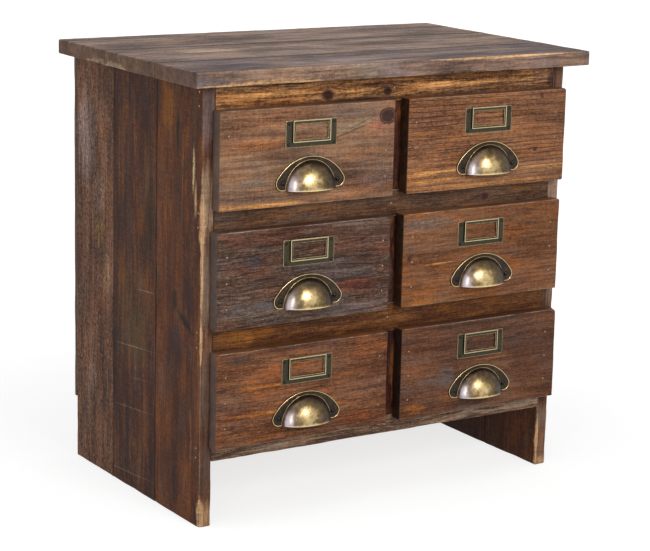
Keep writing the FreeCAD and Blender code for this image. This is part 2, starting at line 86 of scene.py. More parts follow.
def placeCamera(setup):
    turn, tilt, roll = (math.radians(setup[key]) for key in ("azimuth", "elevation", "roll"))
    ahead = Vector((-math.sin(turn) * math.cos(tilt), math.cos(turn) * math.cos(tilt), -math.sin(tilt)))
    level = Vector((math.cos(turn), math.sin(turn), 0))
    upright = level.cross(ahead)
    side = math.cos(roll) * level + math.sin(roll) * upright
    top = math.cos(roll) * upright - math.sin(roll) * level
    data = bpy.data.cameras.new("camera")
    data.lens = setup["lens"]
    data.sensor_width = setup["sensor"]
    camera = bpy.data.objects.new("camera", data)
    facing = Matrix((side, top, -ahead)).transposed().to_4x4()
    camera.matrix_world = Matrix.Translation(setup["place"]) @ facing
    bpy.context.scene.collection.objects.link(camera)
    bpy.context.scene.camera = camera


placeCamera(cameraSetup)
bpy.context.scene.view_settings.view_transform = "Standard"
print("camera placed")


# Shader sums

class Wire:
    # A socket that does sums: each operator adds its Math node.
    def __init__(self, graph, socket):
        self.graph = graph
        self.socket = socket

    def sum(self, operation, *terms):
        return self.graph.add("ShaderNodeMath", {"operation": operation}, *terms)

    def __add__(self, other):
        return self.sum("ADD", self, other)

    def __radd__(self, other):
        return self.sum("ADD", other, self)

    def __sub__(self, other):
        return self.sum("SUBTRACT", self, other)

    def __rsub__(self, other):
        return self.sum("SUBTRACT", other, self)

    def __mul__(self, other):
        return self.sum("MULTIPLY", self, other)

    def __rmul__(self, other):
        return self.sum("MULTIPLY", other, self)

    def __truediv__(self, other):
        return self.sum("DIVIDE", self, other)

    def __rtruediv__(self, other):
        return self.sum("DIVIDE", other, self)

    def twin(self, output):
        # Another output of the same node
        return Wire(self.graph, self.socket.node.outputs[output])

    def root(self):
        return self.sum("SQRT", self)

    def fraction(self):
        return self.sum("FRACT", self)

    def exponential(self):
        return self.sum("EXPONENT", self)

    def size(self):
        return self.sum("ABSOLUTE", self)

    def atLeast(self, other):
        return self.sum("MAXIMUM", self, other)

    def atMost(self, other):
        return self.sum("MINIMUM", self, other)

    def between(self, low, high):
        # 0 up to low, 1 from high on, and a soft rise from one to the other
        return self.graph.add(
            "ShaderNodeMapRange", {"interpolation_type": "SMOOTHSTEP"}, self, low, high, 0.0, 1.0
        )


class Graph:
    # The nodes of a material or a world: add makes any node, its settings first and then its sockets.
    def __init__(self, name, store=bpy.data.materials):
        self.owner = store.new(name)
        self.owner.use_nodes = True
        self.tree = self.owner.node_tree
        self.tree.nodes.clear()

    def add(self, kind, settings=None, *values, output=0, **named):
        node = self.tree.nodes.new(kind)
        for key, value in (settings or {}).items():
            if key == "stops":
                self.setStops(node.color_ramp, value)
            else:
                setattr(node, key, value)
        sockets = list(enumerate(values)) + [(key.replace("_", " "), value) for key, value in named.items()]
        for key, value in sockets:
            if isinstance(value, Wire):
                self.tree.links.new(value.socket, node.inputs[key])
            elif value is not None:
                node.inputs[key].default_value = value
        return Wire(self, node.outputs[output]) if len(node.outputs) else None

    def setStops(self, ramp, stops):
        for place, colour in stops[2:]:
            ramp.elements.new(place)
        for element, (place, colour) in zip(ramp.elements, stops):
            element.position = place
            element.color = colour

    def mix(self, factor, first, second):
        # The five sockets after the factor are for numbers and vectors, and the next two for colours.
        settings = {"data_type": "RGBA", "clamp_factor": True}
        return self.add("ShaderNodeMix", settings, factor, *[None] * 5, first, second, output=2)

    def ramp(self, factor, *stops):
        return self.add("ShaderNodeValToRGB", {"stops": stops}, factor)

    def attribute(self, name):
        return self.add("ShaderNodeAttribute", {"attribute_name": name}, output="Fac")

    def finish(self, surface, kind="Material"):
        self.add(f"ShaderNodeOutput{kind}", None, surface)
        return self.owner


def paint(colour, sheen=0.0):
    # Colours are written as screen values from 0 to 255 and turned into light here, less what
    # the surface's own sheen adds.
    screen = [part / 255 for part in colour]
    light = [part / 12.92 if part <= 0.04045 else ((part + 0.055) / 1.055) ** 2.4 for part in screen]
    return (*[max(part - sheen, 0.002) for part in light], 1.0)


# Wood: every board gets its own look on the same growth of rings, streaks, knots and wear.

plainWood = {
    "grain": "x",            # the way the fibres run
    "wide": "z",             # the way across them on the broad face
    "seed": 1,
    "dark": (84, 55, 40),
    "middle": (124, 86, 62),
    "light": (150, 110, 82),
    "warm": (146, 92, 56), "warmth": 0.5,
    "cool": (100, 82, 72), "coolness": 0.4,
    "clouds": 1.2, "streak": 1.0, "fibre": 1.5, "grit": 1.6,
    "saw": 0.4, "sawPitch": 1.6,     # marks across the grain
    "wave": 6.0, "ripple": 1.2,      # mm that the grain wanders
    "ringGap": 6.0,          # mm from one growth ring to the next
    "heart": (0.0, 60.0),    # the log's heart: across and behind the face, mm
    "ring": 0.4, "ringStart": 0.4, "ringDrift": 0.9, "ringEven": 0.15, "ringColour": (58, 36, 27),
    "patches": [],           # (along, across, reach along, reach across, colour, strength, tilt if any)
    "knots": [],             # (along, across, radius), mm
    "knotColour": (62, 46, 42), "knot": 0.92,
    "haloColour": (118, 72, 54), "halo": 0.5,     # the stain around a knot
    "hoopColour": (36, 26, 23), "hoop": 0.85,     # the dark line around a knot
    "crackColour": (34, 24, 20), "cracks": 0.35,
    "endColour": (88, 74, 72), "end": 0.95,       # end grain, and the most that it covers
    "edgeWearAndHighlightColour": (160, 136, 118), "edge": 0.6,
    "bareColour": (196, 154, 112), "bare": 0.9,   # where chips broke off
    "dirtAndShadeColour": (36, 27, 23), "dirtAndShade": 0.85,     # grime and painted shade in the joints between boards
    "roughness": 0.62, "relief": 0.4, "sheen": 0.012,
}


def makeWood(name, **changes):
    look = {**plainWood, **changes}
    graph = Graph(name)
    places = graph.add("ShaderNodeTexCoord", output="Object")
    scaled = graph.add("ShaderNodeVectorMath", {"operation": "SCALE"}, places, Scale=1000.0)
    apart = graph.add("ShaderNodeSeparateXYZ", None, scaled)
    ways = [look["grain"].upper(), look["wide"].upper()]
    ways += [way for way in "XYZ" if way not in ways]
    along, across, deep = (apart.twin(way) for way in ways)
    straight = graph.add("ShaderNodeCombineXYZ", None, along, across, deep)
    drawn = iter(range(1000))

    def grainNoise(length, width, detail=2.0, roughness=0.55, through=None):
        # Noise whose spots are so long and so wide, in mm
        shift = look["seed"] * 37.31 + next(drawn) * 5.77
        moved = graph.add(
            "ShaderNodeMapping", None, through or straight,
            Location=(shift, shift, 0.0), Scale=(1 / length, 1 / width, 1 / width),
        )
        return graph.add(
            "ShaderNodeTexNoise", None, Vector=moved, Scale=1.0, Detail=detail, Roughness=roughness
        )

    def farFrom(atAlong, atAcross, reachAlong, reachAcross, tilt=0):
        # 0 at a place on the broad face, and 1 at its reach, which may be tilted by some degrees
        moved = graph.add(
            "ShaderNodeMapping", {"vector_type": "TEXTURE"}, straight, (atAlong, atAcross, 0.0),
            (0.0, 0.0, math.radians(tilt)), (reachAlong, reachAcross, 1e9),
        )
        return graph.add("ShaderNodeVectorMath", {"operation": "LENGTH"}, moved, output="Value")

    rim, bare, end, seam, calm = (graph.attribute(mark) for mark in ("rim", "bare", "end", "seam", "calm"))

    # The fibres wander, and part around each knot.
    bent = across + (grainNoise(260, 55, 1) - 0.5) * (2 * look["wave"])
    bent = bent + (grainNoise(42, 11, 1) - 0.5) * (2 * look["ripple"])
    core = halo = hoop = None
    for knotAlong, knotAcross, radius in look["knots"]:
        spread = farFrom(knotAlong, knotAcross, radius * 2.6, radius * 1.5)
        bent = bent - (across - knotAcross) * (spread * spread * -1.0).exponential() * 0.85
        ragged = (grainNoise(radius * 1.5, radius * 1.5, 3) - 0.5) * 0.4
        near = farFrom(knotAlong, knotAcross, radius, radius * 0.85) + ragged
        spot, glow = 1 - near.between(0.75, 1.0), 1 - near.between(0.9, 2.1)
        ring = 1 - (near - 1.02).size().between(0.04, 0.18)
        core = spot if core is None else core.atLeast(spot)
        halo = glow if halo is None else halo.atLeast(glow)
        hoop = ring if hoop is None else hoop.atLeast(ring)
    bentPlace = graph.add("ShaderNodeCombineXYZ", None, along, bent, deep)

    # Growth rings around the heart of the log: late wood darkens slowly and ends sharply.
    heartAcross, heartDeep = look["heart"]
    offHeart, behind = bent - heartAcross, deep - heartDeep
    girth = (offHeart * offHeart + behind * behind).root() / look["ringGap"]
    phase = (girth + (grainNoise(90, 9, 2, through=bentPlace) - 0.5) * look["ringDrift"]).fraction()
    late = phase.between(look["ringStart"], 0.93) * (1 - phase.between(0.94, 1.0))
    shown = grainNoise(120, 24, 2, through=bentPlace).between(0.34, 0.62)
    rings = late * (shown * (1 - look["ringEven"]) + look["ringEven"]) * (1 - end * 0.75)

    # Clouds, streaks, threads and grit, and the saw's marks across them
    threads = grainNoise(36, 1.9, 4, 0.6, bentPlace)
    grit = grainNoise(5, 1.5, 3, 0.7)
    marks = grainNoise(look["sawPitch"], 22, 3, 0.6)
    tone = (grainNoise(150, 42, 4, 0.6, bentPlace) - 0.5) * look["clouds"] + 0.5
    tone = tone + (grainNoise(110, 7.5, 4, 0.6, bentPlace) - 0.5) * look["streak"]
    tone = tone + (threads - 0.5) * look["fibre"] + (grit - 0.5) * look["grit"] + (marks - 0.5) * look["saw"]
    tone = tone + (0.5 - tone) * calm
    strength = (tone * 1.9 + 0.05).atLeast(0.12)

    def toned(colour):
        # A colour that is as uneven as the wood under it
        return graph.add(
            "ShaderNodeVectorMath", {"operation": "SCALE"}, paint(colour, look["sheen"])[:3], Scale=strength
        )

    shades = ((0.1, "dark"), (0.5, "middle"), (0.9, "light"))
    colour = graph.ramp(tone, *[(place, paint(look[key], look["sheen"])) for place, key in shades])
    hue = grainNoise(80, 24, 4, 0.62)
    colour = graph.mix(hue.between(0.5, 0.64) * look["warmth"], colour, toned(look["warm"]))
    colour = graph.mix(hue.between(0.5, 0.36) * look["coolness"], colour, toned(look["cool"]))
    for patchAlong, patchAcross, reachAlong, reachAcross, shade, much, *tilt in look["patches"]:
        ragged = (grainNoise(reachAlong * 0.8, max(reachAcross * 0.7, 2), 4, 0.6) - 0.5) * 1.2
        far = farFrom(patchAlong, patchAcross, reachAlong, reachAcross, *tilt) + ragged
        colour = graph.mix(far.between(1.15, 0.3) * much, colour, toned(shade))
    if core is not None:
        colour = graph.mix(halo * look["halo"], colour, toned(look["haloColour"]))
    colour = graph.mix(rings * look["ring"], colour, paint(look["ringColour"], look["sheen"]))
    splits = grainNoise(70, 1.4, 2, 0.5, bentPlace).between(0.62, 0.74) * look["cracks"]
    colour = graph.mix(splits, colour, paint(look["crackColour"]))
    if core is not None:
        colour = graph.mix(core * look["knot"], colour, toned(look["knotColour"]))
        colour = graph.mix(hoop * look["hoop"], colour, paint(look["hoopColour"]))

    # End grain, which on the right fronts is painted shade, wear along the arrises with a painted highlight
    # on them, bare wood under the chips, and grime with painted shade in the joints
    patchy = grainNoise(24, 8, 4, 0.65)
    mottled = (patchy * 0.8 + 0.4).atMost(look["end"])
    colour = graph.mix(end * mottled, colour, toned(look["endColour"]))
    # Wear along the arrises, partly a painted highlight on them
    worn = (rim + (patchy - 0.5) * 0.8 - end * 0.15).between(0.76, 0.98) * look["edge"]
    colour = graph.mix(worn, colour, toned(look["edgeWearAndHighlightColour"]))
    broken = (bare + (patchy - 0.5) * 1.3).between(0.15, 0.85) * look["bare"]
    colour = graph.mix(broken, colour, toned(look["bareColour"]))
    # Grime in the joints, partly painted shade where the boards meet
    dirtAndShade = (seam + (patchy - 0.5) * 0.7).between(0.3, 0.65) * look["dirtAndShade"]
    colour = graph.mix(dirtAndShade, colour, paint(look["dirtAndShadeColour"]))

    height = (threads - 0.5) * 0.7 + (grit - 0.5) * 0.5 + (marks - 0.5) * 0.5 - rings * 0.3 - splits * 1.2
    bump = graph.add("ShaderNodeBump", None, Strength=look["relief"], Distance=0.0008, Height=height)
    shine = (threads - 0.5) * 0.4 + (grit - 0.5) * 0.3 + splits * 0.2 + look["roughness"]
    surface = graph.add(
        "ShaderNodeBsdfPrincipled", None, Base_Color=colour, Roughness=shine, Normal=bump,
        Specular_IOR_Level=0.16,
    )
    return graph.finish(surface)


# Boards: rounded, worn and slightly uneven blocks, always inside the size that the frame gives

boardWear = {
    "easing": 1.3,       # mm, the arrises where they are least worn
    "rounding": 1.6,     # mm more where they are worn most
    "worn": 38.0,        # mm from one worn place to the next, roughly
    "hollows": 0.3,      # mm, the unevenness of the faces
    "hollow": 55.0,      # mm from one hollow to the next
    "nibbles": 0.5,      # mm, the raggedness of the arrises
    "nibble": 11.0,      # mm from one nibble to the next
    "rim": 6.0,          # mm of wear, with its painted highlight, on each side of an arris
    "pitch": 4.0,        # mm between the mesh's lines along the board
    "breadth": 6.0,      # mm between its lines across the board
    "seam": 4.5,         # mm of grime and painted shade on each side of a joint
    "joint": 1.0,        # how much of the rounding the arrises at a joint have
}
edgeLines = (0, 0.3, 0.7, 1.2, 1.9, 2.8, 4.2)    # mm in from an arris, where the mesh is finer
sharpFrom = math.radians(42)                     # edges that turn more than this stay sharp


def ticks(length, pitch):
    # Where the mesh's lines lie: close together near both ends
    near = [edge for edge in edgeLines if edge < length * 0.45]
    count = max(1, round((length - 2 * near[-1]) / pitch))
    middle = [near[-1] + (length - 2 * near[-1]) * step / count for step in range(1, count)]
    return np.array(near + middle + [length - edge for edge in reversed(near)])


def blockGrid(lines):
    # The surface of a lattice: its points, and the quads of its six sides facing out
    counts = [len(line) for line in lines]
    index = -np.ones(counts, int)
    shell = np.zeros(counts, bool)
    for axis in range(3):
        ends = [slice(None)] * 3
        ends[axis] = [0, -1]
        shell[tuple(ends)] = True
    index[shell] = np.arange(shell.sum())
    spots = np.argwhere(shell)
    points = np.stack([lines[axis][spots[:, axis]] for axis in range(3)], axis=1)
    quads = []
    for axis in range(3):
        for end, outward in ((0, False), (-1, True)):
            sheet = np.take(index, end, axis=axis)
            ring = [sheet[:-1, :-1], sheet[1:, :-1], sheet[1:, 1:], sheet[:-1, 1:]]
            if outward == (axis == 1):
                ring.reverse()
            quads.append(np.stack(ring, axis=-1).reshape(-1, 4))
    return points, np.concatenate(quads)


def swell(points, reach, seed):
    # Smooth noise from 0 to 1, the same on every run
    shift = Vector((seed * 7.13, seed * 3.71, seed * 1.37))
    return np.array([0.5 + 0.5 * noise.noise(Vector(point) / reach + shift) for point in points])


def boardPiece(node, grain, wide, seed, chips, joined, **changes):
    wear = {**boardWear, **changes}
    alongAxis, acrossAxis = "xyz".index(grain), "xyz".index(wide)
    low, high = (np.array(corner) * 1000 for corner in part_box(node))
    pitches = [wear["pitch"] if axis == grain else wear["breadth"] for axis in "xyz"]
    lines = [start + ticks(end - start, pitch) for start, end, pitch in zip(low, high, pitches)]
    points, quads = blockGrid(lines)
    thin = (high - low).min()
    worn = np.clip((swell(points, wear["worn"], seed) - 0.42) * 3.2, 0, 1)
    radius = np.minimum(wear["easing"] + wear["rounding"] * worn, thin * 0.45)
    seam, apart = np.zeros(len(points)), np.full(len(points), 1e3)
    for axis, end in joined:
        axis = "xyz".index(axis)
        off = high[axis] - points[:, axis] if end > 0 else points[:, axis] - low[axis]
        seam = np.maximum(seam, np.clip(1 - off / wear["seam"], 0, 1))
        apart = np.minimum(apart, off)
    radius = (radius * (1 - (1 - wear["joint"]) * np.clip(1.5 - apart / 8, 0, 1)))[:, None]
    core = np.clip(points, low + radius, high - radius)
    out = points - core
    length = np.linalg.norm(out, axis=1, keepdims=True)
    normal = out / length
    gaps = np.minimum(points - low, high - points)
    ending = np.clip(1 - gaps[:, alongAxis] / wear["rim"], 0, 1)  # the ends' arrises get less wear and less painted highlight
    rim = np.clip(1 - np.sort(gaps, axis=1)[:, 1] / wear["rim"], 0, 1) * (apart > 3) * (1 - ending * 0.4)
    ragged = np.clip(swell(points, wear["nibble"], seed + 3) * 2 - 0.9, 0, 1) * rim ** 2 * wear["nibbles"]
    hollow = swell(points, wear["hollow"], seed + 5) * wear["hollows"] + ragged
    bare = np.zeros(len(points))
    for place, reach, depth in chips:
        near = np.linalg.norm((points - np.array(place)) / np.array(reach), axis=1)
        near = near + (swell(points, 5, seed + 9) - 0.5) * 0.5
        bite = np.clip(1.15 - near, 0, 1)
        hollow = hollow + bite * depth
        bare = np.maximum(bare, np.clip(bite * 2.5, 0, 1))
    end = np.clip(np.abs(normal[:, alongAxis]) * 2 - 1, 0, 1)
    calm = end * 0.6 + np.abs(normal[:, acrossAxis]) * 0.5  # the ends and narrow faces are smoother
    seam = seam * (1 - end)
    points = core + normal * (radius - np.minimum(hollow[:, None], radius + thin * 0.3))
    marks = {"rim": rim, "bare": bare, "seam": seam, "end": end, "calm": calm}
    return meshPiece(node, points, quads, marks)


def meshPiece(name, points, faces, attributes):
    mesh = bpy.data.meshes.new(name)
    mesh.from_pydata((np.asarray(points) / 1000).tolist(), [], [tuple(face) for face in faces])
    mesh.validate()
    turned = bmesh.new()
    turned.from_mesh(mesh)
    bmesh.ops.recalc_face_normals(turned, faces=turned.faces)
    turned.to_mesh(mesh)
    turned.free()
    for key, values in attributes.items():
        layer = mesh.attributes.new(key, "FLOAT", "POINT")
        layer.data.foreach_set("value", np.asarray(values, np.float32))
    mesh.polygons.foreach_set("use_smooth", [True] * len(mesh.polygons))
    mesh.set_sharp_from_angle(angle=sharpFrom)
    piece = bpy.data.objects.new("worn_" + name, mesh)
    bpy.context.scene.collection.objects.link(piece)
    return piece


bodyOf = {node: body for body, nodes in frame["record"]["behaviour"]["bodies"].items() for node in nodes}


def install(piece, node, material):
    # The piece stands for a node, on its body.
    piece.data.materials.append(material)
    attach(piece, bodyOf[node])
    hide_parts(node)


def dress(node, material):
    # The node's own mesh stays and gets a better finish.
    thing = frame["nodes"][node]
    thing.data.materials.clear()
    thing.data.materials.append(material)


# Top

weathered = {
    "grain": "x", "wide": "y", "dark": (82, 66, 60), "middle": (124, 102, 92), "light": (156, 134, 118),
    "warm": (138, 108, 84), "cool": (106, 97, 100), "coolness": 0.5,
    "ringColour": (70, 56, 50), "ring": 0.5, "ringStart": 0.6, "ringGap": 8, "cracks": 0.7,
    "clouds": 2.8, "streak": 2.2, "fibre": 1.8, "grit": 2.2, "dirtAndShade": 0.9, "saw": 0.7,
    "endColour": (88, 66, 52), "edgeWearAndHighlightColour": (156, 136, 116), "edge": 0.4, "roughness": 0.66,
}
topBoards = {
    "top_rear_board": {
        "seed": 3, "heart": (150, 560), "joined": [("y", -1)],
        "chips": [((-311, 80, 580), (3, 38, 6), 0.4)], "bareColour": (142, 118, 98),
        "patches": [
            (-120, 150, 90, 18, (150, 122, 100), 0.6), (-60, 110, 70, 9, (96, 78, 74), 0.6),
            (180, 150, 80, 14, (134, 112, 104), 0.5),
        ],
    },
    "top_middle_board": {
        "seed": 5, "heart": (0, 540), "joined": [("y", -1), ("y", 1)],
        "chips": [((-311, 30, 580), (3, 34, 6), 0.4)], "bareColour": (142, 118, 98),
        "patches": [
            (-190, 10, 70, 22, (158, 132, 112), 0.6), (20, 30, 120, 16, (140, 118, 100), 0.5),
            (-90, -50, 90, 8, (92, 76, 74), 0.6),
        ],
    },
    "top_front_board": {
        "seed": 8, "heart": (-150, 565), "joined": [("y", 1)], "coolness": 0.8,
        "dark": (66, 55, 54), "middle": (98, 83, 80), "light": (130, 111, 104),
        "chips": [((-215, -187.4, 580), (95, 3.5, 5), 0.8), ((150, -187.4, 600), (110, 4, 3), 0.5)],
        "patches": [
            (-230, -125, 45, 22, (86, 70, 74), 0.6), (-170, -188, 150, 6, (136, 108, 88), 0.8),
            (130, -188, 200, 6, (122, 98, 84), 0.7), (-60, -188, 26, 6, (108, 98, 82), 0.45),
            (250, -112, 60, 26, (96, 86, 92), 0.6),
        ],
    },
}


def makeBoards(boards, shared=None, **wear):
    for node, own in boards.items():
        look = {**plainWood, **(shared or {}), **own}
        chips, joined = look.pop("chips", ()), look.pop("joined", ())
        piece = boardPiece(node, look["grain"], look["wide"], look["seed"], chips, joined, **wear)
        install(piece, node, makeWood(node, **look))


makeBoards(topBoards, weathered, seam=6.5, joint=0.35)
print("top made")


# Sides

sideWood = {
    "grain": "z", "wide": "y", "dark": (50, 35, 29), "middle": (78, 55, 45), "light": (110, 84, 70),
    "warm": (106, 70, 46), "warmth": 0.4, "cool": (84, 68, 60),
    "ringColour": (44, 29, 24), "ringGap": 9, "ring": 0.3, "wave": 8,
    "clouds": 1.5, "streak": 1.1, "grit": 2.0, "saw": 0.9, "sawPitch": 1.8, "cracks": 0.4,
    "endColour": (70, 54, 46), "edgeWearAndHighlightColour": (134, 106, 86), "edge": 0.5, "roughness": 0.68, "dirtAndShade": 0.5,
    "bareColour": (182, 146, 112), "sheen": 0.019,
}
sawnLine = (132, 116, 100)
sideBoards = {
    "left_side_rear_board": {
        "seed": 11, "heart": (130, -250), "middle": (94, 66, 52), "light": (134, 102, 84), "grit": 3.0,
        "joined": [("y", -1)],
        "patches": [
            (470, 165, 70, 34, (132, 114, 108), 0.7), (395, 125, 34, 24, (124, 100, 86), 0.6),
            (340, 120, 26, 14, (134, 104, 62), 0.6), (290, 104, 44, 12, (138, 108, 84), 0.6),
            (130, 145, 26, 18, (128, 104, 94), 0.6), (90, 170, 60, 30, (110, 84, 70), 0.5),
            (555, 110, 30, 40, (72, 52, 44), 0.5), (240, 170, 50, 16, (116, 90, 76), 0.5),
        ],
    },
    "left_side_middle_board": {
        "seed": 13, "heart": (20, -240), "dark": (45, 29, 21), "middle": (71, 46, 32), "light": (100, 71, 51),
        "joined": [("y", -1), ("y", 1)],
        "patches": [
            (390, -24, 90, 11, (52, 47, 36), 0.6), (230, 20, 70, 50, (74, 65, 51), 0.5),
            (500, -10, 60, 30, (60, 44, 38), 0.4), (258, 28, 12, 10, (88, 52, 36), 0.5),
            (286, -15, 0.9, 30, sawnLine, 0.6, 4), (202, 20, 0.9, 75, sawnLine, 0.6, 5),
            (160, 5, 0.8, 40, sawnLine, 0.4, 6), (114, 30, 0.9, 70, sawnLine, 0.5, 5),
            (20, 40, 0.9, 75, sawnLine, 0.6, 4),
        ],
    },
    "left_side_front_board": {
        "seed": 17, "heart": (-100, -330), "middle": (84, 53, 37), "light": (116, 79, 55), "saw": 0.7,
        "warm": (108, 67, 44), "warmth": 0.5, "streak": 0.6, "clouds": 1.2, "grit": 1.5, "joined": [("y", 1)],
        "chips": [
            ((-287, -161.4, 405), (5, 6, 48), 1.8), ((-287, -161.4, 335), (3, 3.5, 55), 1.0),
            ((-287, -161.4, 250), (3, 3, 30), 1.0), ((-287, -161.4, 16), (6, 6, 28), 1.8),
        ],
        "patches": [
            (545, -70, 42, 22, (122, 80, 42), 0.6), (512, -97, 40, 5, (40, 25, 20), 0.95),
            (470, -139, 30, 4, (206, 174, 134), 1.0), (432, -144, 26, 4, (198, 164, 122), 0.9),
            (268, -120, 7, 26, (34, 24, 23), 0.95, -28), (292, -92, 20, 8, (44, 32, 31), 0.9),
            (300, -126, 34, 24, (56, 43, 42), 0.75), (235, -98, 34, 26, (62, 50, 50), 0.7),
            (480, -110, 60, 2.5, (112, 86, 68), 0.7), (150, -120, 30, 18, (78, 60, 52), 0.5),
            (115, -138, 48, 3.4, (136, 90, 66), 0.6), (60, -85, 60, 30, (64, 45, 40), 0.4),
            (540, -163, 60, 5, (118, 100, 96), 0.85), (430, -163, 60, 6, (159, 132, 109), 0.85),
            (320, -163, 70, 5, (140, 117, 101), 0.85), (190, -163, 80, 5, (107, 90, 80), 0.8),
            (80, -163, 60, 5, (94, 79, 71), 0.7), (14, -163, 26, 6, (160, 128, 96), 0.7),
        ],
    },
    # Partly painted shade: this board is darker than the wood, for the shade on the right leg's inner face.
    "right_side_rear_board": {
        "seed": 19, "heart": (130, 240), "middle": (74, 53, 43), "light": (106, 81, 67),
        "joined": [("y", -1)], "knots": [(438, 148, 8)],
        "patches": [
            (480, 130, 60, 22, (118, 98, 88), 0.5), (200, 120, 50, 20, (112, 86, 66), 0.5),
            (320, 168, 80, 10, (104, 84, 74), 0.5),
        ],
    },
    "right_side_middle_board": {
        "seed": 23, "heart": (20, 250), "dark": (44, 30, 24), "middle": (67, 46, 37), "light": (98, 72, 58),
        "joined": [("y", -1), ("y", 1)],
        "patches": [
            (350, 0, 90, 26, (64, 58, 48), 0.5), (420, 25, 0.9, 60, sawnLine, 0.5, -5),
            (150, 10, 0.9, 70, sawnLine, 0.5, -4),
        ],
    },
    # Partly painted shade: this board is darker than the wood, for the shade on the right leg's inner face.
    "right_side_front_board": {
        "seed": 29, "heart": (-100, 240), "middle": (80, 53, 41), "light": (110, 77, 60),
        "warm": (102, 63, 44), "warmth": 0.6, "streak": 0.8, "grit": 1.6,
        "knots": [(180, -104, 9)], "joined": [("y", 1)],
        "chips": [((287, -161.4, 330), (4, 4, 60), 1.0), ((269, -161.4, 40), (3, 4, 40), 0.9)],
        "patches": [
            (400, -163, 190, 5, (150, 126, 110), 0.8), (72, -163, 24, 5, (132, 110, 97), 0.75),
            (28, -163, 40, 6, (128, 100, 80), 0.7), (6, -163, 10, 8, (176, 140, 104), 0.8),
        ],
    },
}
makeBoards(sideBoards, sideWood)
print("sides made")


# Rails, stiles and back

railBoards = {
    "top_rail": {
        "seed": 31, "heart": (640, -60), "dark": (54, 37, 29), "middle": (110, 76, 52),
        "light": (186, 138, 92), "warm": (160, 106, 62), "warmth": 0.7, "streak": 1.6,
        "ringColour": (70, 42, 26), "ringGap": 5, "ring": 0.3,
        "knots": [(-102, 558, 8), (-8, 558, 6)], "knotColour": (42, 28, 22),
        "patches": [
            (-190, 563, 80, 5, (184, 133, 82), 0.8), (-50, 561, 42, 4, (200, 145, 88), 0.8),
            (110, 563, 130, 5, (188, 135, 84), 0.8), (0, 549, 280, 3.5, (66, 46, 38), 0.75),
            # The dark strip along the rail's top, at 577, is painted shadow under the top's overhang.
            (0, 577, 280, 4, (84, 56, 38), 0.6), (200, 547, 70, 2, (176, 146, 122), 0.7),
            (150, 556, 90, 1.6, (96, 60, 40), 0.7, -2), (266, 560, 9, 16, (62, 48, 52), 0.9),
        ],
    },
    "upper_rail": {
        "seed": 37, "heart": (440, -80), "dark": (58, 43, 35), "middle": (89, 66, 53), "light": (120, 92, 72),
        "warm": (118, 76, 44), "warmth": 0.4, "knots": [(159, 404, 5)], "cool": (84, 74, 68),
        "patches": [(-180, 404, 42, 6, (124, 84, 50), 0.5)],
    },
    "lower_rail": {
        "seed": 41, "heart": (300, -80), "dark": (62, 39, 27), "middle": (96, 62, 40), "light": (134, 90, 56),
        "warm": (126, 76, 34), "warmth": 0.6, "cool": (70, 50, 38),
        "patches": [(-236, 250, 34, 11, (132, 86, 44), 0.7), (-214, 246, 9, 8, (150, 98, 46), 0.6)],
    },
    "bottom_rail": {
        "seed": 43, "heart": (140, -80), "dark": (70, 54, 46), "middle": (116, 92, 76),
        "light": (158, 134, 114), "warm": (130, 100, 76), "cool": (104, 92, 86),
        "streak": 2.4, "fibre": 2.0,
    },
}
makeBoards(railBoards)
# Painted shade: the stile's colours are darkened for the shade in the narrow gap between the drawer fronts,
# over the wood's own reddish brown.
shadedStileWood = makeWood(
    "stile_wood", grain="z", wide="x", seed=47, dark=(26, 15, 9), middle=(51, 28, 15), light=(79, 46, 26)
)
dress("center_stiles", shadedStileWood)
backBoard = {
    "back_panel": {
        "seed": 53, "heart": (300, 160), "ringGap": 11, "dark": (66, 48, 38), "middle": (96, 72, 56),
        "light": (122, 96, 76), "warm": (112, 80, 54), "ring": 0.5,
    }
}
makeBoards(backBoard, breadth=12.0)
innerWood = makeWood(
    "inner_wood", grain="y", wide="z", seed=59,
    dark=(118, 86, 58), middle=(156, 118, 82), light=(184, 146, 106),
    warm=(170, 124, 78), cool=(140, 116, 92), ringColour=(108, 72, 44),
)
dress("top_cleats", innerWood)
dress("drawer_runners", innerWood)
print("case made")


# Drawers

